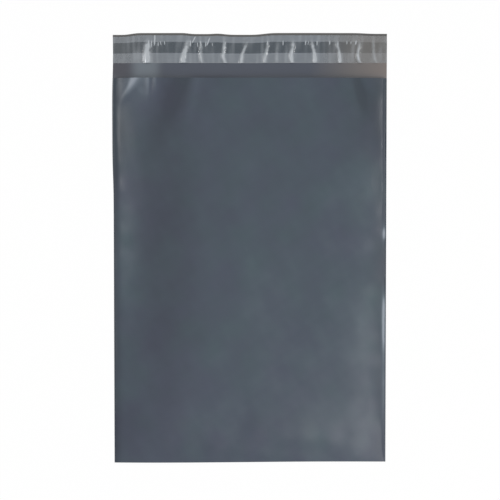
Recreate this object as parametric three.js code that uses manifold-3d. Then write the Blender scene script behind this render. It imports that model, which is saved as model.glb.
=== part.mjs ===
// An empty polyethylene mailing bag, lying flat with its mouth side up.
//
// One sheet of film is folded at the bottom and hot-knife welded along both sides. The front wall ends at
// the mouth, and the back wall runs on past it as the closing lip. A line of adhesive on the lip is covered
// by a clear release strip, which is wider than the adhesive and has puckered across its width.
//
// Millimetres, +Z up. X runs across the bag and +Y towards the lip. The origin is on the table, under the
// middle of the bag.
import * as THREE from "three";
import { mergeVertices } from "three/addons/utils/BufferGeometryUtils.js";
import Module from "manifold-3d";

const { clamp, lerp, smoothstep } = THREE.MathUtils;

// The film bag
const BAG_WIDTH = 250; // over the two side welds
const POUCH_LENGTH = 352; // from the bottom fold to the mouth
const LIP_LENGTH = 41; // from the mouth to the lip's cut edge
const LIP_ROOT = 1; // how far the lip's hidden first row lies inside the back wall
const FILM_THICKNESS = 0.06; // of one wall
const WELD_WIDTH = 1; // where both walls are fused, along each side
const BEAD_WIDTH = 0.4; // of the bead that the hot knife leaves on the weld's cut edge
const BEAD_THICKNESS = 0.2;
const FOLD_RADIUS = 0.5; // outside of the bottom fold

// The air left in the pouch
const LOFT = 7; // height of the front wall over the table
const MOUTH_SAG = 1.2; // how much lower the wall's free edge lies at the mouth
const MOUTH_SAG_REACH = 45;
const LEFT_STEP = 9; // the front wall's first, steep rise beside each seam
const RIGHT_STEP = 4;
const STEP_SHARE = 0.28; // of the loft that this rise gains
const CROWN = 52; // how far from the seams the wall takes to level off
const FOLD_CROWN = 70;

// The closure on the lip
const LINER_INSET = 2; // from the lip's cut edge to the release strip
const LINER_WIDTH = 25;
const LINER_THICKNESS = 0.05;
const ADHESIVE_INSET = 6; // from the release strip's edge to the adhesive
const ADHESIVE_WIDTH = 10;
const ADHESIVE_THICKNESS = 0.05;
const SEAT_GAP = 0.05; // air between the release strip and the adhesive

// The relief of the lip. Its corner curls up, and where it buckles its edge draws back towards the mouth.
const CORNER_CURL = 2;
const CORNER_REACH = 15;
const LIP_SWELL = 0.5;
const LIP_SWELL_PITCH = 95;
const LIP_BUCKLES = [
  { at: -0.5, width: 18, draw: 2 },
  { at: -0.175, width: 13, draw: 1 },
  { at: -0.025, width: 21, draw: 1.6 },
  { at: 0.5, width: 22, draw: 0.75 },
];

// How the bag lies. Its left side is drawn in, but for a bulge below the mouth, and its bottom fold bows.
const SIDE_DRAW = 1;
const BULGE_DOWN = 43; // from the mouth to the middle of the bulge
const BULGE_REACH = 50;
const FOLD_BOW = 1.1;
const FOLD_BOW_LOW = -91; // where across the bag the fold reaches furthest down
const FOLD_BOW_PITCH = 352;

// Slow swells of the front wall
const SWELL_HEIGHT = 0.3;
const SWELL_ACROSS = 118; // pitches
const SWELL_ALONG = 155;

// Ripples that run down the front wall from the mouth: "at" is a share of the bag's width from the middle,
// "lean" the sideways drift for each millimetre down, and a height below 0 is a furrow.
const MOUTH_RIPPLES = [
  { at: -0.415, lean: -0.6, width: 4.5, reach: 24, height: 1.5 },
  { at: -0.369, lean: 0, width: 2.4, reach: 14, height: 0.5 },
  { at: -0.34, lean: -0.06, width: 2.6, reach: 15, height: 0.9 },
  { at: -0.238, lean: -0.42, width: 9, reach: 60, height: -0.7 },
  { at: -0.187, lean: -0.3, width: 6, reach: 38, height: 0.6 },
  { at: 0.396, lean: 0.06, width: 6, reach: 36, height: -0.55 },
];

// Puckers that cross the release strip: "lean" is how far the crest drifts from its lower to its upper edge.
const PUCKERS = [
  { at: -0.374, lean: 0, width: 3.4, height: 1.5 },
  { at: -0.234, lean: 4, width: 2.8, height: 1.4 },
  { at: -0.178, lean: -2, width: 1.8, height: 0.9 },
  { at: -0.094, lean: -2.7, width: 2, height: 1.1 },
  { at: -0.02, lean: 5, width: 1.9, height: 1.1 },
  { at: 0.062, lean: 2.5, width: 1.8, height: 0.9 },
  { at: 0.1, lean: 0, width: 2, height: 0.6 },
  { at: 0.155, lean: 0, width: 2.2, height: 1.3 },
  { at: 0.232, lean: -3.5, width: 2, height: 1.2 },
  { at: 0.323, lean: -3.5, width: 1.8, height: 1.1 },
  { at: 0.397, lean: -3, width: 1.7, height: 1 },
  { at: 0.452, lean: -4, width: 1.8, height: 0.6 },
];

// How finely the curved skins are divided
const FILM_COLUMNS = 50;
const WALL_ROWS = 24;
const FOLD_STEPS = 3;
const LINER_COLUMNS = 120;
const END_CROWDING = 0.6; // 0 spaces the stations evenly, and 1 gathers them at the ends
const FLATNESS = 1e-4; // triangles that are flatter than this are merged into larger ones

// Places that follow from the sizes
const sideX = BAG_WIDTH / 2;
const weldX = sideX - WELD_WIDTH;
const foldY = -(POUCH_LENGTH + LIP_LENGTH) / 2;
const mouthY = foldY + POUCH_LENGTH;
const lipEdgeY = mouthY + LIP_LENGTH;
const linerTopY = lipEdgeY - LINER_INSET;
const linerBottomY = linerTopY - LINER_WIDTH;
const adhesiveTopY = linerTopY - ADHESIVE_INSET;
const adhesiveBottomY = adhesiveTopY - ADHESIVE_WIDTH;
const linerMiddleY = (linerTopY + linerBottomY) / 2;

const bell = (distance, width) => Math.exp(-((distance / width) ** 2));
const plateau = (distance, width) => Math.exp(-((distance / width) ** 4));

// Stations from one value to another, gathered towards both ends.
function stations(from, to, count, crowding) {
  return Array.from({ length: count + 1 }, (_, i) => {
    const even = i / count;
    const gathered = (1 - Math.cos(Math.PI * even)) / 2;
    return lerp(from, to, lerp(even, gathered, crowding));
  });
}

// A rise from 0 at a seam to 1 at its reach, where it levels off.
function rise(distance, reach) {
  const short = 1 - clamp(distance / reach, 0, 1);
  return 1 - short ** 3;
}

// Beside a seam the film stands up steeply, and from there it crowns slowly.
function sideRise(distance, step) {
  return lerp(rise(distance, CROWN), rise(distance, step), STEP_SHARE);
}

// How far the pouch is open across the bag, from 0 in the side welds to 1 in the middle.
function openness(x) {
  return sideRise(x + weldX, LEFT_STEP) * sideRise(weldX - x, RIGHT_STEP);
}

// Both walls fused in the weld, and thicker in the bead along its cut edge.
function weldThickness(x) {
  const inBead = Math.abs(x) > sideX - BEAD_WIDTH / 2;
  return Math.max(2 * FILM_THICKNESS, inBead ? BEAD_THICKNESS : 0);
}

// The bottom fold is pressed flat in the welds and round between them.
function foldRadius(x) {
  const pressed = weldThickness(x) / 2;
  return lerp(pressed, Math.max(FOLD_RADIUS, pressed), openness(x));
}

// The sag, swells and ripples of the front wall, away from its seams.
function wallRelief(x, y) {
  const down = mouthY - y;
  const sag = MOUTH_SAG * bell(down, MOUTH_SAG_REACH);
  const swell = Math.sin((2 * Math.PI * x) / SWELL_ACROSS) * Math.cos((2 * Math.PI * y) / SWELL_ALONG);
  const ripples = MOUTH_RIPPLES.map((ripple) => {
    const crest = ripple.at * BAG_WIDTH + ripple.lean * down;
    return ripple.height * bell(x - crest, ripple.width) * bell(down, ripple.reach);
  });
  return ripples.reduce((sum, height) => sum + height, SWELL_HEIGHT * swell - sag);
}

// Height of the front wall's outer face, which starts at the top of the fold.
function wallHeight(x, y) {
  const radius = foldRadius(x);
  const open = openness(x) * rise(y - (foldY + radius), FOLD_CROWN);
  return lerp(2 * radius, LOFT + wallRelief(x, y), open);
}

// Height of the lip's underside over the table, nothing at the mouth and most at its cut edge.
function lipRise(x, y) {
  const out = clamp((y - mouthY) / LIP_LENGTH, 0, 1);
  const swell = (LIP_SWELL * (1 - Math.cos((2 * Math.PI * x) / LIP_SWELL_PITCH))) / 2;
  return out ** 2 * (swell + CORNER_CURL * bell(x + sideX, CORNER_REACH));
}

// How far a point of the lip is drawn back towards the mouth.
function lipDraw(x, y) {
  const out = clamp((y - mouthY) / LIP_LENGTH, 0, 1);
  return LIP_BUCKLES.reduce(
    (sum, buckle) => sum + buckle.draw * out ** 2 * plateau(x - buckle.at * BAG_WIDTH, buckle.width),
    0,
  );
}

// A point at a height over the lip's underside.
function onLip(x, y, height) {
  return [x, y - lipDraw(x, y), lipRise(x, y) + height];
}

// How far the puckered release strip stands off the adhesive, less towards its upper edge.
function puckerHeight(x, y) {
  const up = (y - linerMiddleY) / LINER_WIDTH;
  const hold = lerp(1, 0.3, smoothstep(up, 0, 0.5));
  return PUCKERS.reduce((sum, pucker) => {
    const crest = pucker.at * BAG_WIDTH + pucker.lean * up;
    return sum + hold * pucker.height * bell(x - crest, pucker.width);
  }, 0);
}

// Where a point of the straight bag comes to lie.
function settled([x, y, z]) {
  const leftward = (sideX - x) / BAG_WIDTH;
  const bulge = plateau(mouthY - y - BULGE_DOWN, BULGE_REACH);
  const down = clamp((mouthY - y) / POUCH_LENGTH, 0, 1);
  const bow = (1 - Math.cos((2 * Math.PI * (x - FOLD_BOW_LOW)) / FOLD_BOW_PITCH)) / 2;
  return [x + SIDE_DRAW * (1 - bulge) * leftward ** 3, y + FOLD_BOW * bow * down ** 2, z];
}

// A closed sheet: an outer and an inner skin of rows by columns, with the rim that joins them. Seen from
// outside, rows run up and columns to the right.
function sheet(rows, columns, outer, inner) {
  const position = [outer, inner].flatMap((skin) =>
    rows.flatMap((row) => columns.flatMap((column) => settled(skin(column, row)))),
  );
  const index = [];
  const vertex = (skin, r, c) => (skin * rows.length + r) * columns.length + c;
  const quad = (a, b, c, d) => index.push(a, b, c, a, c, d);
  const rim = (r, c, nextR, nextC) => {
    quad(vertex(0, r, c), vertex(0, nextR, nextC), vertex(1, nextR, nextC), vertex(1, r, c));
  };
  const lastRow = rows.length - 1;
  const lastColumn = columns.length - 1;
  for (let r = 0; r < lastRow; r++) {
    for (let c = 0; c < lastColumn; c++) {
      quad(vertex(0, r, c), vertex(0, r, c + 1), vertex(0, r + 1, c + 1), vertex(0, r + 1, c));
      quad(vertex(1, r, c), vertex(1, r + 1, c), vertex(1, r + 1, c + 1), vertex(1, r, c + 1));
    }
    rim(r, 0, r + 1, 0);
    rim(r + 1, lastColumn, r, lastColumn);
  }
  for (let c = 0; c < lastColumn; c++) {
    rim(0, c + 1, 0, c);
    rim(lastRow, c, lastRow, c + 1);
  }
  const geometry = new THREE.BufferGeometry();
  geometry.setAttribute("position", new THREE.Float32BufferAttribute(position, 3));
  geometry.setIndex(index);
  return geometry;
}

const pouchColumns = stations(-weldX, weldX, FILM_COLUMNS, END_CROWDING);
const filmColumns = [-sideX, -sideX + BEAD_WIDTH, ...pouchColumns, sideX - BEAD_WIDTH, sideX];

// Rows from one place to another, with those of the given places that lie between them.
function rowsBetween(from, to, places) {
  const inside = places.filter((place) => place > from && place < to);
  return [from, ...inside.sort((a, b) => a - b), to];
}

// What the pouch's faces enclose: depth 0 gives its outer faces, and the film's thickness its inner ones.
// Its first rows turn round the bottom fold, and the others run up the walls to the mouth.
function pouchVolume(columns, depth) {
  const fold = stations(Math.PI / 2, Math.PI, FOLD_STEPS, 0).map((turn) => ({ turn, share: 0 }));
  const walls = stations(0, 1, WALL_ROWS, END_CROWDING).map((share) => ({ turn: Math.PI, share }));
  const face = (side) => (x, row) => {
    const radius = foldRadius(x);
    const arm = radius - depth;
    if (row.share === 0) {
      const turned = foldY + radius - arm * Math.sin(row.turn);
      return [x, turned, radius - side * arm * Math.cos(row.turn)];
    }
    const y = lerp(foldY + radius, mouthY, row.share);
    return [x, y, side > 0 ? wallHeight(x, y) - depth : depth];
  };
  return sheet([...fold, ...walls.slice(1)], columns, face(1), face(-1));
}

// The lip, which runs on from the back wall. Its first row lies inside that wall.
function lipSheet() {
  const places = [(mouthY + linerBottomY) / 2, linerBottomY, adhesiveBottomY, adhesiveTopY, linerTopY];
  return sheet(
    [mouthY - LIP_ROOT, ...rowsBetween(mouthY, lipEdgeY, places)],
    filmColumns,
    (x, y) => onLip(x, y, FILM_THICKNESS),
    (x, y) => onLip(x, y, 0),
  );
}

const wasm = await Module();
wasm.setup();

function solidOf(geometry) {
  const bare = geometry.clone();
  bare.deleteAttribute("normal");
  bare.deleteAttribute("uv");
  const merged = mergeVertices(bare, 1e-4);
  return new wasm.Manifold(
    new wasm.Mesh({
      numProp: 3,
      vertProperties: merged.getAttribute("position").array,
      triVerts: new Uint32Array(merged.getIndex().array),
    }),
  );
}

function geometryOf(solid) {
  const mesh = solid.getMesh();
  const geometry = new THREE.BufferGeometry();
  geometry.setAttribute("position", new THREE.BufferAttribute(mesh.vertProperties, 3));
  geometry.setIndex(new THREE.BufferAttribute(mesh.triVerts, 1));
  geometry.computeVertexNormals();
  return geometry;
}

function filmBag() {
  const walls = solidOf(pouchVolume(filmColumns, 0)).add(solidOf(lipSheet()));
  const inside = solidOf(pouchVolume(pouchColumns, FILM_THICKNESS));
  const film = walls.subtract(inside).asOriginal().simplify(FLATNESS);
  const material = new THREE.MeshStandardMaterial({ color: 0x4f5b66, roughness: 0.38, metalness: 0 });
  const mesh = new THREE.Mesh(geometryOf(film), material);
  mesh.name = "film_bag";
  return mesh;
}

function adhesiveLine() {
  const geometry = sheet(
    [adhesiveBottomY, adhesiveTopY],
    filmColumns,
    (x, y) => onLip(x, y, FILM_THICKNESS + ADHESIVE_THICKNESS),
    (x, y) => onLip(x, y, FILM_THICKNESS),
  );
  const material = new THREE.MeshStandardMaterial({ color: 0x5f686e, roughness: 0.2, metalness: 0 });
  const mesh = new THREE.Mesh(geometry, material);
  mesh.name = "adhesive_line";
  return mesh;
}

function releaseStrip() {
  const seat = FILM_THICKNESS + ADHESIVE_THICKNESS + SEAT_GAP;
  const geometry = sheet(
    rowsBetween(linerBottomY, linerTopY, [adhesiveBottomY, linerMiddleY, adhesiveTopY]),
    stations(-sideX, sideX, LINER_COLUMNS, 0),
    (x, y) => onLip(x, y, seat + LINER_THICKNESS + puckerHeight(x, y)),
    (x, y) => onLip(x, y, seat + puckerHeight(x, y)),
  );
  const material = new THREE.MeshStandardMaterial({
    color: 0xb9c0c6,
    roughness: 0.15,
    metalness: 0,
    transparent: true,
    opacity: 0.5,
  });
  const mesh = new THREE.Mesh(geometry, material);
  mesh.name = "release_strip";
  return mesh;
}

const bag = new THREE.Group();
bag.add(filmBag(), adhesiveLine(), releaseStrip());

export default bag;
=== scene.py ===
import math

import bpy
import numpy as np
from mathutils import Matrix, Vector


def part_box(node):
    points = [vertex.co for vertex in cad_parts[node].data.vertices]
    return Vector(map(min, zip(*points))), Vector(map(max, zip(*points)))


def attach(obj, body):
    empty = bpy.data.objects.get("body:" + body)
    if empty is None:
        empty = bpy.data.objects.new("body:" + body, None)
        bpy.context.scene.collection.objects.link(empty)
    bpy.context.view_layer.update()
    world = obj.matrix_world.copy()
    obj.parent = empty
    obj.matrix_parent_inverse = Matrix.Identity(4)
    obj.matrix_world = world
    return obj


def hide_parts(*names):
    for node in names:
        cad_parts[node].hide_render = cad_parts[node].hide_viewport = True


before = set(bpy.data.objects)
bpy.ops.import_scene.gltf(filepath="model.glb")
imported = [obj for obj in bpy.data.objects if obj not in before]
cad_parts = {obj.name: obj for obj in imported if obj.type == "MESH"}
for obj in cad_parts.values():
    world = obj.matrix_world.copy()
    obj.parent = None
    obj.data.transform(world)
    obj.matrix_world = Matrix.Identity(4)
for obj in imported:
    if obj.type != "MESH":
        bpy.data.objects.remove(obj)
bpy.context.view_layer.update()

# The film bag: one sheet of blue-grey polyethylene film, 0.06 mm thick, folded over at the bottom. A hot
# knife cut and welded both sides in one stroke, which left a fine bead. The back wall runs on past the mouth
# as the closing lip, and a little air keeps the front wall off it.
MM = 0.001
film_low, film_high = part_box("film_bag")
BAG_WIDTH = film_high.x - film_low.x
SIDE_X = film_high.x
FOLD_Y = film_low.y
LIP_EDGE_Y = film_high.y
LIP_LENGTH = 41 * MM
MOUTH_Y = LIP_EDGE_Y - LIP_LENGTH
POUCH_LENGTH = MOUTH_Y - FOLD_Y
FILM_THICKNESS = 0.06 * MM
WELD_WIDTH = 1 * MM
BEAD_WIDTH = 0.4 * MM
BEAD_THICKNESS = 0.2 * MM
FOLD_RADIUS = 0.5 * MM

# The air left in the pouch. Beside a seam the wall stands up in a steep step, which gains a share of its
# loft, and crowns slowly from there. It sags towards the mouth, and gathers a little beside the seams.
LOFT = 7 * MM
LEFT_STEP = 9 * MM
RIGHT_STEP = 4 * MM
STEP_SHARE = 0.28
CROWN = 52 * MM
FOLD_CROWN = 70 * MM
MOUTH_SAG = 1.2 * MM
MOUTH_SAG_REACH = 45 * MM
GATHER_HEIGHT = 0.25 * MM

# Slow swells of the front wall, and chance relief on top of them.
SWELL_HEIGHT = 0.3 * MM
SWELL_ACROSS = 118 * MM
SWELL_ALONG = 155 * MM
CHANCE_SWELL_HEIGHT = 0.22 * MM
DENT_HEIGHT = 0.05 * MM

# Ridges and furrows that run down the front wall from the mouth: place as a share of the bag's width from its
# middle, sideways drift for each millimetre down, width, reach and height.
MOUTH_RIPPLES = [
    (-0.415, -0.6, 4.5, 24, 1.5),
    (-0.369, 0, 2.4, 14, 0.5),
    (-0.34, -0.06, 2.6, 15, 0.9),
    (-0.238, -0.42, 9, 60, -0.7),
    (-0.187, -0.3, 6, 38, 0.6),
    (0.396, 0.06, 6, 36, -0.55),
]

# The lip swells in waves, its left corner curls up, and where it buckles its edge draws back towards the
# mouth: place, width and draw.
LIP_SWELL = 0.5 * MM
LIP_SWELL_PITCH = 95 * MM
CORNER_CURL = 2 * MM
CORNER_REACH = 15 * MM
LIP_BUCKLES = [(-0.5, 18, 2), (-0.175, 13, 1), (-0.025, 21, 1.6), (0.5, 22, 0.75)]

# How the bag lies. Its left side is drawn in, but for a bulge below the mouth, and its bottom fold bows.
SIDE_DRAW = 1 * MM
BULGE_DOWN = 43 * MM
BULGE_REACH = 50 * MM
FOLD_BOW = 1.1 * MM
FOLD_BOW_LOW = -91 * MM
FOLD_BOW_PITCH = 352 * MM

# How finely the film is divided, and how far its stations gather at the seams and at the ends of the wall.
FILM_COLUMNS = 172
LIP_ROWS = 44
BACK_ROWS = 24
FOLD_ROWS = 8
WALL_ROWS = 190
SEAM_CROWDING = 0.55
WALL_CROWDING = 0.35


def bell(distance, width):
    return np.exp(-((distance / width) ** 2))


def plateau(distance, width):
    return np.exp(-((distance / width) ** 4))


def ease(value, start, end):
    share = np.clip((value - start) / (end - start), 0, 1)
    return share * share * (3 - 2 * share)


def rise(distance, reach):
    """A rise from 0 at a seam to 1 at its reach, where it levels off."""
    return 1 - (1 - np.clip(distance / reach, 0, 1)) ** 3


class Ripples:
    """Smooth chance relief, the same each run: waves of mixed pitch and direction, from -1 to 1 or so."""

    def __init__(self, seed, pitch, count=14, stretch=1.0):
        draw = np.random.default_rng(seed)
        heading = draw.uniform(0, math.pi, count)
        length = pitch * draw.uniform(0.6, 1.7, count)
        self.across = np.cos(heading) * 2 * math.pi / length
        self.along = np.sin(heading) * 2 * math.pi / length / stretch
        self.phase = draw.uniform(0, 2 * math.pi, count)

    def __call__(self, x, y):
        waves = [np.sin(a * x + b * y + p) for a, b, p in zip(self.across, self.along, self.phase)]
        return sum(waves) / math.sqrt(len(waves))


seam_gathers = Ripples(3, 22 * MM, stretch=1.6)
slow_swell = Ripples(5, 120 * MM)
soft_dents = Ripples(11, 34 * MM, stretch=2.2)


def side_rise(distance, step):
    return (1 - STEP_SHARE) * rise(distance, CROWN) + STEP_SHARE * rise(distance, step)


def openness(x):
    """How far the pouch is open across the bag, from 0 in the side welds to 1 in the middle."""
    inner = SIDE_X - WELD_WIDTH
    return side_rise(x + inner, LEFT_STEP) * side_rise(inner - x, RIGHT_STEP)


def weld_thickness(x):
    return np.where(np.abs(x) > SIDE_X - BEAD_WIDTH / 2, BEAD_THICKNESS, 2 * FILM_THICKNESS)


def fold_radius(x):
    pressed = weld_thickness(x) / 2
    return pressed + (FOLD_RADIUS - pressed) * openness(x)


def wall_relief(x, y):
    """The front wall's own relief: its swells, the sag and the ripples at the mouth, and soft dents."""
    down = MOUTH_Y - y
    relief = SWELL_HEIGHT * np.sin(2 * math.pi * x / SWELL_ACROSS) * np.cos(2 * math.pi * y / SWELL_ALONG)
    relief = relief - MOUTH_SAG * bell(down, MOUTH_SAG_REACH)
    for place, lean, width, reach, height in MOUTH_RIPPLES:
        crest = place * BAG_WIDTH + lean * down
        relief = relief + height * MM * bell(x - crest, width * MM) * bell(down, reach * MM)
    return relief + CHANCE_SWELL_HEIGHT * slow_swell(x, y) + DENT_HEIGHT * soft_dents(x, y)


def wall_height(x, y):
    """Height of the front wall's outer face over the table."""
    radius = fold_radius(x)
    opened = openness(x) * rise(y - (FOLD_Y + radius), FOLD_CROWN)
    near_seam = 4 * opened * (1 - opened)
    gathered = GATHER_HEIGHT * near_seam * seam_gathers(x, y)
    return 2 * radius + opened * (LOFT + wall_relief(x, y) - 2 * radius) + gathered


def out_on_lip(y):
    """The share of the way from the mouth to the lip's edge."""
    return np.clip((y - MOUTH_Y) / LIP_LENGTH, 0, 1)


def lip_rise(x, y):
    """Height of the lip's underside over the table."""
    swell = LIP_SWELL / 2 * (1 - np.cos(2 * math.pi * x / LIP_SWELL_PITCH))
    return out_on_lip(y) ** 2 * (swell + CORNER_CURL * bell(x + SIDE_X, CORNER_REACH))


def on_lip(x, y, height):
    """A point at a height over the lip's underside."""
    draw = sum(
        pull * MM * out_on_lip(y) ** 2 * plateau(x - place * BAG_WIDTH, width * MM)
        for place, width, pull in LIP_BUCKLES
    )
    return np.stack([x, y - draw, lip_rise(x, y) + height], -1)


def settled(points):
    """Where the straight bag's points come to lie."""
    x, y, z = np.moveaxis(points, -1, 0)
    leftward = (SIDE_X - x) / BAG_WIDTH
    bulge = plateau(MOUTH_Y - y - BULGE_DOWN, BULGE_REACH)
    down = np.clip((MOUTH_Y - y) / POUCH_LENGTH, 0, 1)
    bow = (1 - np.cos(2 * math.pi * (x - FOLD_BOW_LOW) / FOLD_BOW_PITCH)) / 2
    return np.stack([x + SIDE_DRAW * (1 - bulge) * leftward ** 3, y + FOLD_BOW * bow * down ** 2, z], -1)


def sheet_mesh(name, outer, inner):
    """A closed sheet from two grids of points, rows by columns: both skins and the rim between them."""
    rows, columns = outer.shape[:2]
    number = np.arange(2 * rows * columns).reshape(2, rows, columns)

    def strip(a, b, c, d):
        return np.stack([a, b, c, d], -1).reshape(-1, 4)

    top, under = number
    faces = [
        strip(top[:-1, :-1], top[:-1, 1:], top[1:, 1:], top[1:, :-1]),
        strip(under[:-1, :-1], under[1:, :-1], under[1:, 1:], under[:-1, 1:]),
        strip(top[:-1, 0], top[1:, 0], under[1:, 0], under[:-1, 0]),
        strip(under[:-1, -1], under[1:, -1], top[1:, -1], top[:-1, -1]),
        strip(under[0, :-1], under[0, 1:], top[0, 1:], top[0, :-1]),
        strip(top[-1, :-1], top[-1, 1:], under[-1, 1:], under[-1, :-1]),
    ]
    mesh = bpy.data.meshes.new(name)
    points = settled(np.concatenate([outer.reshape(-1, 3), inner.reshape(-1, 3)]))
    mesh.from_pydata(points.tolist(), [], np.concatenate(faces).tolist())
    mesh.shade_smooth()
    mesh.set_sharp_from_angle(angle=math.radians(60))
    mesh.update()
    piece = bpy.data.objects.new(name, mesh)
    bpy.context.scene.collection.objects.link(piece)
    return piece


def stations(start, end, count, crowding=0.0):
    """Stations from one value to another, gathered towards both ends by the crowding."""
    even = np.linspace(0, 1, count + 1)
    return start + (end - start) * ((1 - crowding) * even + crowding * (1 - np.cos(math.pi * even)) / 2)


def film_skin(columns, depth):
    """One skin of the folded sheet, at a depth into the film from its outer face: from the lip's edge down
    the back wall, round the fold and up to the mouth."""
    out = []
    for y in stations(LIP_EDGE_Y, MOUTH_Y, LIP_ROWS):
        out.append(on_lip(columns, np.full_like(columns, y), depth))
    radius = fold_radius(columns)
    arm = radius - depth
    for share in stations(0, 1, BACK_ROWS)[1:]:
        y = MOUTH_Y + (FOLD_Y + radius - MOUTH_Y) * share
        out.append(np.stack([columns, y, np.full_like(columns, depth)], -1))
    for turn in stations(0, math.pi, FOLD_ROWS)[1:]:
        y = FOLD_Y + radius - arm * math.sin(turn)
        out.append(np.stack([columns, y, radius - arm * math.cos(turn)], -1))
    for share in stations(0, 1, WALL_ROWS, WALL_CROWDING)[1:]:
        y = FOLD_Y + radius + (MOUTH_Y - FOLD_Y - radius) * share
        out.append(np.stack([columns, y, wall_height(columns, y) - depth], -1))
    return np.stack(out)


weld_x = SIDE_X - WELD_WIDTH
film_columns = np.concatenate([
    [-SIDE_X, -SIDE_X + BEAD_WIDTH],
    stations(-weld_x, weld_x, FILM_COLUMNS, SEAM_CROWDING),
    [SIDE_X - BEAD_WIDTH, SIDE_X],
])
film = sheet_mesh("mailer_film", film_skin(film_columns, 0.0), film_skin(film_columns, FILM_THICKNESS))


def point_values(piece, name, values):
    """Keep a value for each point of a piece, for its material to read."""
    layer = piece.data.attributes.new(name, "FLOAT", "POINT")
    layer.data.foreach_set("value", np.asarray(values, dtype=np.float32).ravel())


skin_points = len(film.data.vertices) // 2
point_values(film, "inside", np.repeat([0.0, 1.0], skin_points))
film_points = np.array([vertex.co for vertex in film.data.vertices])
film_x, film_y = film_points[:, 0], film_points[:, 1]

# The film's tone goes from 0, darkest, to 1, palest, and clouds a little where it was blown thicker or
# thinner:
# the clouds' seed, pitch and strength. Painted shade and painted highlights are added to it below.
CLOUDS = [(21, 95, 0.035), (29, 30, 0.03), (37, 13, 0.02)]

# Bands of painted shade down the bag, a broad one left of the middle and narrow ones along the sides, where
# the slopes beside the seams turn away from the light: place across, width, where the band starts and where
# it is full, both up from the bag's middle, and by how much it is paler. One that is full at -200, which is
# past the fold, runs all the way down.
SIDE = SIDE_X / MM
BROAD_SHADE_BAND = -78
BROAD_SHADE_BAND_WIDTH = 30
PAINTED_SHADE_BANDS = [
    (BROAD_SHADE_BAND, BROAD_SHADE_BAND_WIDTH, -210, -90, -0.28),
    (-SIDE, 6, -250, -200, -0.45),
    (-SIDE, 14, 30, 90, -0.3),
    (SIDE, 12, -250, -200, -0.35),
]

# Painted shade and painted highlights on the front wall: dark patches at the upper right, and pale ones where
# the slopes beside the seams catch the light, a broad highlight near the left side and a narrow glint along
# the
# right edge: place across and up, width, length, the form of their ends and how much paler they are.
PAINTED_LIGHT_PATCHES = [
    (112, 132, 26, 32, bell, -0.3),
    (104, 92, 14, 18, bell, -0.14),
    (-113, 15, 14, 70, plateau, 0.24),
    (SIDE - 2.2, 14, 2.2, 8, bell, 0.95),
    (SIDE - 2.2, -66, 2.2, 27, plateau, 0.855),
    (SIDE - 2.2, -125, 2.2, 36, plateau, 0.475),
]

# Lines down from the mouth, painted shade in the furrow and the dimple and painted highlights on the ridges:
# place, sideways drift for each millimetre down, width, how far down their middle is, reach and by how much
# they are paler.
MOUTH_SHADE_AND_HIGHLIGHT_LINES = [
    (-60, -0.45, 10, 0, 55, -0.3),
    (-47.5, -0.2, 5, 0, 34, 0.26),
    (97.5, 0.22, 4.2, 10, 16, -0.6),
    (-96, 0, 18, 0, 34, 0.54),
    (-105, -0.5, 4, 0, 21, 0.44),
    (-92, 0, 1.6, 0, 15, 0.22),
    (-85.3, 0, 1.5, 0, 15, 0.264),
]

# Painted highlights on the lip: a pale patch at its left where it bows up, and a faint pale line along the
# mouth, which is broken left of the middle.
BOWED_X = -94.5 * MM
BOWED_REACH = 12.5 * MM
BOWED_LENGTH = 22 * MM
BREAK_X = -32 * MM
BREAK_REACH = 24 * MM


def film_tone_and_painted_light(x, y):
    """How pale the film is, from 0 to 1: its own tone and clouds, with painted shade and painted highlights.
    """
    tone_and_painted_light = 0.5
    for seed, pitch, strength in CLOUDS:
        tone_and_painted_light = tone_and_painted_light + strength * Ripples(seed, pitch * MM)(x, y)
    # Painted shade in bands down the bag.
    for place, width, start, full, gain in PAINTED_SHADE_BANDS:
        tone_and_painted_light = tone_and_painted_light + gain * bell(x - place * MM, width * MM) * ease(y, start * MM, full * MM)
    # Painted shade and painted highlights in patches.
    for across, up, width, length, ends, gain in PAINTED_LIGHT_PATCHES:
        tone_and_painted_light = tone_and_painted_light + gain * bell(x - across * MM, width * MM) * ends(y - up * MM, length * MM)
    down = MOUTH_Y - y
    # Painted shade in the furrow and dimple, painted highlights on the ridges.
    for place, lean, width, middle, reach, gain in MOUTH_SHADE_AND_HIGHLIGHT_LINES:
        crest = place * MM + lean * down
        tone_and_painted_light = tone_and_painted_light + gain * bell(x - crest, width * MM) * bell(down - middle * MM, reach * MM)
    # Painted light towards the right, and painted shade towards the top and in the lower left corner.
    painted_light_right = 0.09 * ease(x, -30 * MM, 95 * MM) * (1 - 0.6 * ease(y, 60 * MM, 130 * MM))
    painted_shade_top = 0.08 * ease(y, -120 * MM, 60 * MM)
    painted_shade_low_corner = 0.16 * ease(-x, 60 * MM, 120 * MM) * ease(-y, 110 * MM, 170 * MM)
    return np.clip(tone_and_painted_light + painted_light_right - painted_shade_top - painted_shade_low_corner, 0, 1)


def film_cast(x, y):
    """How far the film's tint turns from slate to teal. The broad band and the bottom are more slate."""
    clouds = 0.18 * Ripples(43, 60 * MM)(x, y) + 0.12 * Ripples(47, 24 * MM)(x, y)
    slate_band = 0.2 * bell(x - BROAD_SHADE_BAND * MM, BROAD_SHADE_BAND_WIDTH * MM)
    slate_bottom = 0.2 * ease(-y, 70 * MM, 150 * MM)
    return np.clip(0.5 + clouds - slate_band - slate_bottom, 0, 1)


def lip_painted_highlight(x, y):
    up = y - MOUTH_Y
    # Painted highlights: a patch where the lip bows up, and a faint line along the mouth.
    bowed = plateau(x - BOWED_X, BOWED_REACH) * ease(up, -1 * MM, 0.5 * MM)
    bowed = bowed * ease(BOWED_LENGTH - up, 0, 8 * MM)
    along_mouth = 0.22 * bell(up - 1 * MM, 2.2 * MM) * (1 - plateau(x - BREAK_X, BREAK_REACH))
    return np.clip(bowed + along_mouth, 0, 1)


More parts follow.
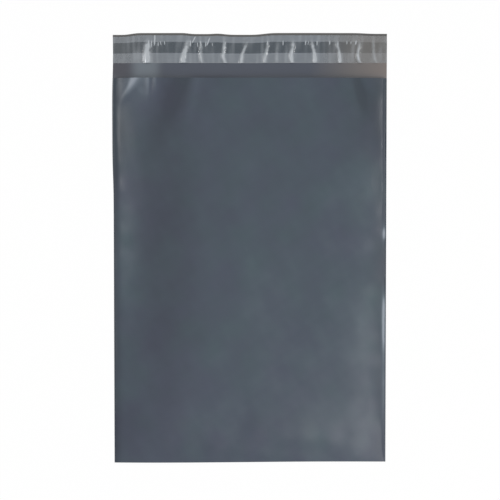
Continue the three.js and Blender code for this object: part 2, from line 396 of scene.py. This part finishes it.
# The film's tone, with its painted shade and painted highlights.
point_values(film, "tone_and_painted_light", film_tone_and_painted_light(film_x, film_y))
point_values(film, "cast", film_cast(film_x, film_y))
# The lip's painted highlights.
point_values(film, "lip_painted_highlight", lip_painted_highlight(film_x, film_y))
point_values(film, "lip_edge", ease(film_y, LIP_EDGE_Y - 5 * MM, LIP_EDGE_Y - 3 * MM))

# The film's colours from its darkest to its palest, in either tint, where the palest stops serve the painted
# highlights and the darkest the painted shade, and those of its inside: along the lip from left to right,
# with a painted warm reflection at its right end, its painted highlight, and its edge.
SLATE_TINTS = [
    (0, (0.029, 0.036, 0.056)),
    (0.5, (0.050, 0.062, 0.092)),
    (0.65, (0.063, 0.078, 0.107)),
    (0.8, (0.112, 0.133, 0.168)),
    (1, (0.235, 0.262, 0.310)),
]
TEAL_TINTS = [
    (0, (0.029, 0.045, 0.058)),
    (0.5, (0.048, 0.074, 0.091)),
    (0.65, (0.061, 0.091, 0.110)),
    (0.8, (0.109, 0.145, 0.170)),
    (1, (0.230, 0.270, 0.310)),
]
LIP_TINTS_AND_WARM_REFLECTION = [
    (0, (0.060, 0.060, 0.073)),
    (0.2, (0.064, 0.074, 0.098)),
    (0.72, (0.064, 0.074, 0.098)),
    (0.88, (0.125, 0.118, 0.118)),
    (1, (0.170, 0.148, 0.138)),
]
LIP_HIGHLIGHT = (0.132, 0.154, 0.178)
LIP_EDGE_GREY = (0.088, 0.086, 0.084)


def new_material(name):
    material = bpy.data.materials.new(name)
    material.use_nodes = True
    nodes = material.node_tree.nodes
    return material, nodes, material.node_tree.links, nodes["Principled BSDF"]


def value_of(name, nodes):
    attribute = nodes.new("ShaderNodeAttribute")
    attribute.attribute_name = name
    return attribute.outputs["Fac"]


def mapped(nodes, links, value, start=0.0, end=1.0, low=0.0, high=1.0):
    """A value's way from start to end, turned into a number from low to high."""
    node = nodes.new("ShaderNodeMapRange")
    node.inputs["From Min"].default_value = start
    node.inputs["From Max"].default_value = end
    node.inputs["To Min"].default_value = low
    node.inputs["To Max"].default_value = high
    links.new(value, node.inputs["Value"])
    return node.outputs["Result"]


def across_bag(nodes, links):
    """0 at the bag's left side and 1 at its right."""
    place = nodes.new("ShaderNodeTexCoord")
    split = nodes.new("ShaderNodeSeparateXYZ")
    links.new(place.outputs["Object"], split.inputs["Vector"])
    return mapped(nodes, links, split.outputs["X"], -SIDE_X, SIDE_X)


def mottle(nodes, links, scale):
    """A soft grey noise, with about so many spots to a metre."""
    place = nodes.new("ShaderNodeTexCoord")
    noise = nodes.new("ShaderNodeTexNoise")
    noise.inputs["Scale"].default_value = scale
    links.new(place.outputs["Object"], noise.inputs["Vector"])
    return noise.outputs["Fac"]


def ramp(nodes, links, value, stops):
    """The colour of a value between (position, colour) stops."""
    node = nodes.new("ShaderNodeValToRGB")
    elements = node.color_ramp.elements
    while len(elements) < len(stops):
        elements.new(0.5)
    for element, (position, colour) in zip(elements, stops):
        element.position = position
        element.color = (*colour, 1)
    links.new(value, node.inputs["Fac"])
    return node.outputs["Color"]


def mixed(nodes, links, factor, first, second):
    """A colour that goes from the first to the second, which is an output or a plain colour."""
    node = nodes.new("ShaderNodeMix")
    node.data_type = "RGBA"
    links.new(factor, node.inputs["Factor"])
    links.new(first, node.inputs["A"])
    if isinstance(second, tuple):
        node.inputs["B"].default_value = (*second, 1)
    else:
        links.new(second, node.inputs["B"])
    return node.outputs["Result"]


def pebbled(nodes, links, shader, height, strength):
    """A fine bump, up to 0.1 mm high at full strength."""
    bump = nodes.new("ShaderNodeBump")
    bump.inputs["Strength"].default_value = strength
    bump.inputs["Distance"].default_value = 0.1 * MM
    links.new(height, bump.inputs["Height"])
    links.new(bump.outputs["Normal"], shader.inputs["Normal"])


def film_material():
    """Satin polyethylene: a slate and a teal tint cloud into each other, over a faint pebbled grain, with
    painted shade and painted highlights on the front wall. The inside, which shows on the lip, is more
    neutral, with a painted warm reflection that makes it paler and warmer at the lip's right end, and painted
    highlights."""
    material, nodes, links, shader = new_material("film")
    # The film's tone, with its painted shade and painted highlights.
    tone_and_painted_light = value_of("tone_and_painted_light", nodes)
    slate = ramp(nodes, links, tone_and_painted_light, SLATE_TINTS)
    teal = ramp(nodes, links, tone_and_painted_light, TEAL_TINTS)
    outside = mixed(nodes, links, value_of("cast", nodes), slate, teal)
    # The lip's inside, with a painted warm reflection at its right end.
    lip = ramp(nodes, links, across_bag(nodes, links), LIP_TINTS_AND_WARM_REFLECTION)
    # The lip's painted highlights.
    highlighted = mixed(nodes, links, value_of("lip_painted_highlight", nodes), lip, LIP_HIGHLIGHT)
    inside = mixed(nodes, links, value_of("lip_edge", nodes), highlighted, LIP_EDGE_GREY)
    faces = mixed(nodes, links, value_of("inside", nodes), outside, inside)
    links.new(faces, shader.inputs["Base Color"])
    gloss = mapped(nodes, links, mottle(nodes, links, scale=60), low=0.26, high=0.36)
    links.new(gloss, shader.inputs["Roughness"])
    pebbled(nodes, links, shader, mottle(nodes, links, scale=900), strength=0.05)
    return material


film.data.materials.append(film_material())
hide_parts("film_bag")
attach(film, "root")

# The adhesive: a clear line of tacky pressure-sensitive glue, 10 mm wide, coated on the lip from side to
# side. It lies inset from the upper edge of the release strip, which is inset from the lip's edge.
LINER_INSET = 2 * MM
LINER_TOP_Y = LIP_EDGE_Y - LINER_INSET
ADHESIVE_INSET = 6 * MM
ADHESIVE_WIDTH = 10 * MM
ADHESIVE_THICKNESS = 0.05 * MM
ADHESIVE_TOP_Y = LINER_TOP_Y - ADHESIVE_INSET
ADHESIVE_BOTTOM_Y = ADHESIVE_TOP_Y - ADHESIVE_WIDTH
ADHESIVE_ROWS = 14
GLUE_TINTS = [(0.3, (0.085, 0.100, 0.115)), (0.7, (0.105, 0.125, 0.140))]


def lip_band(columns, rows, height):
    """A grid of points on the lip, at a height over its underside."""
    return np.stack([on_lip(columns, np.full_like(columns, y), height(columns, y)) for y in rows])


adhesive_rows = stations(ADHESIVE_BOTTOM_Y, ADHESIVE_TOP_Y, ADHESIVE_ROWS)
adhesive = sheet_mesh(
    "adhesive",
    lip_band(film_columns, adhesive_rows, lambda x, y: FILM_THICKNESS + ADHESIVE_THICKNESS),
    lip_band(film_columns, adhesive_rows, lambda x, y: FILM_THICKNESS),
)


def adhesive_material():
    """Glossy glue that flowed on unevenly."""
    material, nodes, links, shader = new_material("adhesive")
    flow = mottle(nodes, links, scale=120)
    links.new(ramp(nodes, links, flow, GLUE_TINTS), shader.inputs["Base Color"])
    shader.inputs["Roughness"].default_value = 0.25
    pebbled(nodes, links, shader, flow, strength=0.2)
    return material


adhesive.data.materials.append(adhesive_material())
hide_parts("adhesive_line")
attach(adhesive, "root")

# The release strip: a clear, silicone-coated film 25 mm wide that covers the adhesive and overlaps it on both
# sides. It is stuck to the adhesive only, and where it lifted again it stands in puckers that look milky.
LINER_WIDTH = 25 * MM
LINER_BOTTOM_Y = LINER_TOP_Y - LINER_WIDTH
LINER_THICKNESS = 0.05 * MM
SEAT_GAP = 0.05 * MM
LINER_COLUMNS = 860
LINER_ROWS = 54

# Puckers across the strip: place as a share of the bag's width, drift of the crest from the lower to the
# upper edge, its sideways bend, width and height.
PUCKERS = [
    (-0.374, 0, 0.3, 3.4, 1.5),
    (-0.234, 4, 0.8, 2.8, 1.4),
    (-0.178, -2, 0.5, 1.8, 0.9),
    (-0.094, -2.7, 1.2, 2, 1.1),
    (-0.02, 5, 0.9, 1.9, 1.1),
    (0.062, 2.5, 0.7, 1.8, 0.9),
    (0.1, 0, 0.3, 2, 0.6),
    (0.155, 0, 0.8, 2.2, 1.3),
    (0.232, -3.5, -0.6, 2, 1.2),
    (0.323, -3.5, -0.4, 1.8, 1.1),
    (0.397, -3, 1.4, 1.7, 1),
    (0.452, -4, 0.5, 1.8, 0.6),
]

# Fingers of air along the adhesive's upper edge: place, the height of their middle over that edge, their
# drift for each millimetre up, half length, width and height, in millimetres.
FINGERS = [
    (-92.3, -1, 0.1, 2.2, 0.4, 0.3),
    (-89.5, -1.5, 0, 2.6, 0.35, 0.25),
    (-86.8, 1.8, 0.05, 4.2, 0.5, 0.55),
    (-83.5, -2, 0, 1.6, 0.4, 0.2),
    (-81.3, -1, -0.25, 1.8, 0.35, 0.25),
    (-77.7, -1, -0.2, 1.6, 0.35, 0.25),
    (-54, -1, 0, 2.4, 0.4, 0.35),
    (-51, 2.5, 0.5, 2.6, 0.4, 0.45),
    (-47.5, -2, 0, 2, 0.35, 0.25),
    (-44.6, -1.2, -0.2, 2.4, 0.4, 0.3),
    (-40, -1.5, 0.1, 2.2, 0.35, 0.25),
    (-37.6, 1, 0.35, 3.2, 0.4, 0.4),
    (-34, -2, 0, 1.6, 0.3, 0.15),
    (-22, -0.5, 0, 1.2, 0.3, 0.2),
    (16.3, -1, 0, 1.6, 0.35, 0.3),
    (30.5, -1, 0, 2, 0.35, 0.3),
    (51, -0.8, 0.1, 1.8, 0.35, 0.3),
    (53.5, -1, 0.2, 1.6, 0.3, 0.25),
    (61.4, -1.2, 0, 1.8, 0.35, 0.3),
    (73, -0.8, 0, 1.5, 0.35, 0.35),
    (80.5, -1.2, 0, 1.4, 0.3, 0.25),
    (88.6, -0.8, 0, 1.4, 0.3, 0.25),
    (92.3, -0.8, 0, 1.2, 0.3, 0.2),
    (96.8, -0.6, 0.15, 1.6, 0.4, 0.4),
]

# The strip's shape follows its fingers with this share of their height, and a pucker of this height is milky.
FINGER_SHARE = 0.4
MILKY_LIFT = 1.2 * MM


def pucker_height(x, y):
    """How far the puckers stand off the adhesive: three quarters of it is lost towards the upper edge."""
    up = (y - (LINER_TOP_Y + LINER_BOTTOM_Y) / 2) / LINER_WIDTH
    hold = 1 - 0.75 * ease(up, 0.1, 0.42)
    total = np.zeros_like(x)
    for place, lean, bend, width, height in PUCKERS:
        crest = place * BAG_WIDTH + (lean * up + bend * np.sin(2 * math.pi * up)) * MM
        total = total + hold * height * MM * bell(x - crest, width * MM)
    return total


def finger_height(x, y):
    """How far the fingers of air would stand off the adhesive in full."""
    total = np.zeros_like(x)
    for place, middle, lean, half_length, width, height in FINGERS:
        over = (y - ADHESIVE_TOP_Y) / MM - middle
        crest = (place + lean * over) * MM
        total = total + height * MM * bell(x - crest, width * MM) * plateau(over, half_length)
    return total


def liner_height(x, y):
    """Height of the strip's underside over the lip's."""
    seat = FILM_THICKNESS + ADHESIVE_THICKNESS + SEAT_GAP
    return seat + pucker_height(x, y) + FINGER_SHARE * finger_height(x, y)


def air_under(x, y):
    """How milky the strip looks: patchily over its puckers, most near its lower edge, over its fingers, in
    faint streaks between them and on a small bubble near its left end."""
    up = y - LINER_BOTTOM_Y
    patchy = 0.85 + 0.22 * Ripples(61, 5 * MM)(x, y) + 0.6 * bell(up - 5 * MM, 3.5 * MM)
    puckers = patchy * (pucker_height(x, y) / MILKY_LIFT) ** 1.8
    fingers = 5 * finger_height(x, y) / MM
    streaks = np.clip(0.02 + 0.12 * Ripples(53, 7 * MM, stretch=5)(x, y), 0, 1)
    bubble = 0.25 * bell(x + 102 * MM, 4 * MM) * bell(up - 6 * MM, 6 * MM)
    return puckers + fingers + streaks + bubble


liner_columns = stations(-SIDE_X, SIDE_X, LINER_COLUMNS)
liner_rows = stations(LINER_BOTTOM_Y, LINER_TOP_Y, LINER_ROWS)
liner = sheet_mesh(
    "release_film",
    lip_band(liner_columns, liner_rows, lambda x, y: liner_height(x, y) + LINER_THICKNESS),
    lip_band(liner_columns, liner_rows, liner_height),
)
liner_x, liner_y = np.meshgrid(liner_columns, liner_rows)
point_values(liner, "air", np.tile(air_under(liner_x, liner_y).ravel(), 2))
point_values(liner, "up", np.tile(((liner_y - LINER_BOTTOM_Y) / LINER_WIDTH).ravel(), 2))

# The strip's colours at its lower edge, beside the adhesive, over it, where it is milky, and of the painted
# warm reflection on it, and how much of that painted reflection it shows along the bag from left to right.
LOWER_EDGE = (0.38, 0.41, 0.43)
HAZE = (0.270, 0.300, 0.334)
CLEAR = (0.100, 0.121, 0.143)
MILK = (0.62, 0.66, 0.70)
WARM_REFLECTION = (0.275, 0.25, 0.222)
WARM_REFLECTION_SHARES = [(0, 0.18), (0.12, 0.1), (0.22, 0), (0.75, 0), (0.9, 0.55)]


def liner_material():
    """Clear film over the dark adhesive, hazy where it is free of it, with a painted warm reflection at its
    ends, and milky over the air under it."""
    material, nodes, links, shader = new_material("release_liner")
    low = (ADHESIVE_BOTTOM_Y - LINER_BOTTOM_Y) / LINER_WIDTH
    high = (ADHESIVE_TOP_Y - LINER_BOTTOM_Y) / LINER_WIDTH
    cut_edge = 0.02
    blur = 0.01
    below = [(0, LOWER_EDGE), (cut_edge, HAZE), (low - blur, HAZE)]
    above = [(low + blur, CLEAR), (high - blur, CLEAR), (high + blur, HAZE)]
    band = ramp(nodes, links, value_of("up", nodes), below + above)
    # A painted warm reflection at the strip's ends.
    greys = [(position, (share, share, share)) for position, share in WARM_REFLECTION_SHARES]
    reflection_share = ramp(nodes, links, across_bag(nodes, links), greys)
    reflected = mixed(nodes, links, reflection_share, band, WARM_REFLECTION)
    milkiness = mapped(nodes, links, value_of("air", nodes), high=0.95)
    links.new(mixed(nodes, links, milkiness, reflected, MILK), shader.inputs["Base Color"])
    shader.inputs["Alpha"].default_value = 0.55
    shader.inputs["Roughness"].default_value = 0.12
    return material


liner.data.materials.append(liner_material())
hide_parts("release_strip")
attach(liner, "root")

# The floor: a plain sheet under the bag, wide enough to fill the low views too. It shows nearly pure white to
# the camera and in reflections, and the small share that is left keeps the bag's faint shadow.
FLOOR_SIZE = 40
FLOOR_DROP = 0.1 * MM
WHITE_SHARE = 0.95
bpy.ops.mesh.primitive_plane_add(size=FLOOR_SIZE, location=(0, 0, -FLOOR_DROP))
floor = bpy.context.object
floor.name = "floor"
floor_material, nodes, links, shader = new_material("floor")
shader.inputs["Base Color"].default_value = (0.9, 0.9, 0.9, 1)
shader.inputs["Roughness"].default_value = 0.9
ray = nodes.new("ShaderNodeLightPath")
seen = ray.outputs["Is Camera Ray"]
for kind in ("Is Glossy Ray", "Is Transmission Ray"):
    either = nodes.new("ShaderNodeMath")
    either.operation = "ADD"
    either.use_clamp = True
    links.new(seen, either.inputs[0])
    links.new(ray.outputs[kind], either.inputs[1])
    seen = either.outputs["Value"]
white = nodes.new("ShaderNodeEmission")
white.inputs["Strength"].default_value = 1
mix = nodes.new("ShaderNodeMixShader")
links.new(mapped(nodes, links, seen, high=WHITE_SHARE), mix.inputs["Fac"])
links.new(shader.outputs["BSDF"], mix.inputs[1])
links.new(white.outputs["Emission"], mix.inputs[2])
links.new(mix.outputs["Shader"], nodes["Material Output"].inputs["Surface"])
floor.data.materials.append(floor_material)

# The light: a pale tent that is darker on the left, a broad lamp at the right of the front, narrow lamps at
# both sides, whose reflections draw the puckers, and a weak broad one low on the right.
LEFT_STRENGTH = 0.64
RIGHT_STRENGTH = 0.9
tent = bpy.data.worlds.new("tent")
bpy.context.scene.world = tent
tent.use_nodes = True
nodes, links = tent.node_tree.nodes, tent.node_tree.links
nodes["Background"].inputs["Color"].default_value = (1, 1, 1, 1)
direction = nodes.new("ShaderNodeTexCoord")
split = nodes.new("ShaderNodeSeparateXYZ")
links.new(direction.outputs["Generated"], split.inputs["Vector"])
strength = mapped(nodes, links, split.outputs["X"], -1, 1, LEFT_STRENGTH, RIGHT_STRENGTH)
links.new(strength, nodes["Background"].inputs["Strength"])


def lamp(name, place, size, power):
    """A rectangular lamp that shines on the middle of the bag, with its power in watts."""
    data = bpy.data.lights.new(name, "AREA")
    data.shape = "RECTANGLE"
    data.size, data.size_y = size
    data.energy = power
    light = bpy.data.objects.new(name, data)
    light.location = place
    light.rotation_mode = "QUATERNION"
    light.rotation_quaternion = (-Vector(place)).to_track_quat("-Z", "Y")
    bpy.context.scene.collection.objects.link(light)


lamp("broad_lamp", place=(0.7, -0.75, 1.5), size=(0.9, 0.9), power=5.6)
lamp("left_lamp", place=(-0.85, 0.25, 0.95), size=(0.12, 0.9), power=1.2)
lamp("left_glint", place=(-0.85, 0.32, 0.95), size=(0.12, 0.16), power=0.7)
lamp("right_glint", place=(0.9, 0.19, 0.95), size=(0.12, 0.14), power=1)
lamp("right_strip", place=(1.0, -0.18, 0.45), size=(0.3, 0.6), power=0.6)

# The camera looks down on the bag from a little over a metre. It leans by nearly 2 degrees, so that the lip
# is nearer to it than the fold.
LEAN = math.radians(1.82)
DISTANCE = 1.0797
AIM_X = 0.52 * MM
AIM_Y = -0.84 * MM
camera_data = bpy.data.cameras.new("camera")
camera_data.lens = 85
camera_data.sensor_width = 36
camera = bpy.data.objects.new("camera", camera_data)
camera.location = (AIM_X, AIM_Y + DISTANCE * math.sin(LEAN), DISTANCE * math.cos(LEAN))
camera.rotation_euler = (-LEAN, 0, 0)
bpy.context.scene.collection.objects.link(camera)
bpy.context.scene.camera = camera
bpy.context.scene.view_settings.view_transform = "Standard"
